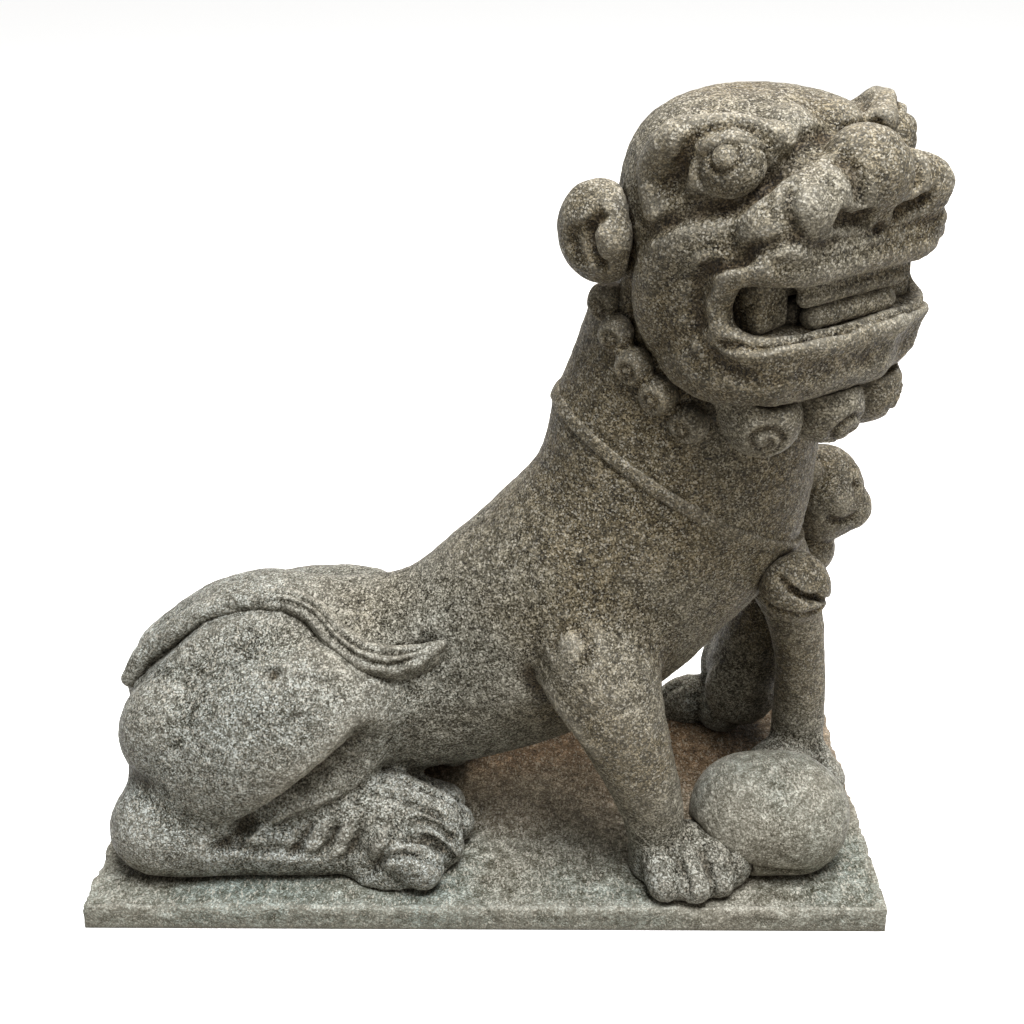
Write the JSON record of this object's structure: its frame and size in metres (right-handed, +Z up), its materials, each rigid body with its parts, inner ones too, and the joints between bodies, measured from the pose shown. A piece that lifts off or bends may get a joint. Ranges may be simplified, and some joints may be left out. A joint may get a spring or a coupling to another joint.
{
  "type": "guardian lion statue",
  "caption": "Carved granite guardian lion lying on a thin slab, head turned to its right, forepaw at a ball, with a bell and a climbing cub; stands free as garden or gate decoration.",
  "frame": {"origin": "centre of the slab's underside", "axes": "+X the way the lion lies, from rump to breast; -Y its right side, which the head looks towards; +Z up"},
  "size_m": [0.407, 0.2023, 0.394],
  "materials": {
    "granite": "fine-pecked grey-olive granite with dark and pale grains, worn lighter on the high parts"
  },
  "bodies": {
    "root": {"ball": "granite", "base_slab": "granite", "bell": "granite", "collar": "granite", "cub_body": "granite", "cub_foreleg": "granite", "cub_head": "granite", "cub_left_hind_leg": "granite", "cub_right_hind_leg": "granite", "front_teeth": "granite", "left_beard": "granite", "left_brow": "granite", "left_ear": "granite", "left_eye": "granite", "left_eyelids": "granite", "left_foreleg": "granite", "left_forepaw": "granite", "left_haunch": "granite", "left_hind_leg": "granite", "left_hind_paw": "granite", "left_jaw_curls": "granite", "left_tooth": "granite", "lower_jaw": "granite", "lower_lip": "granite", "middle_beard": "granite", "muzzle": "granite", "neck": "granite", "nose": "granite", "right_beard": "granite", "right_brow": "granite", "right_ear": "granite", "right_eye": "granite", "right_eyelids": "granite", "right_foreleg": "granite", "right_forepaw": "granite", "right_haunch": "granite", "right_hind_leg": "granite", "right_hind_paw": "granite", "right_jaw_curls": "granite", "right_tooth": "granite", "skull": "granite", "tail": "granite", "tongue": "granite", "trunk": "granite", "upper_lip": "granite"}
  },
  "joints": []
}
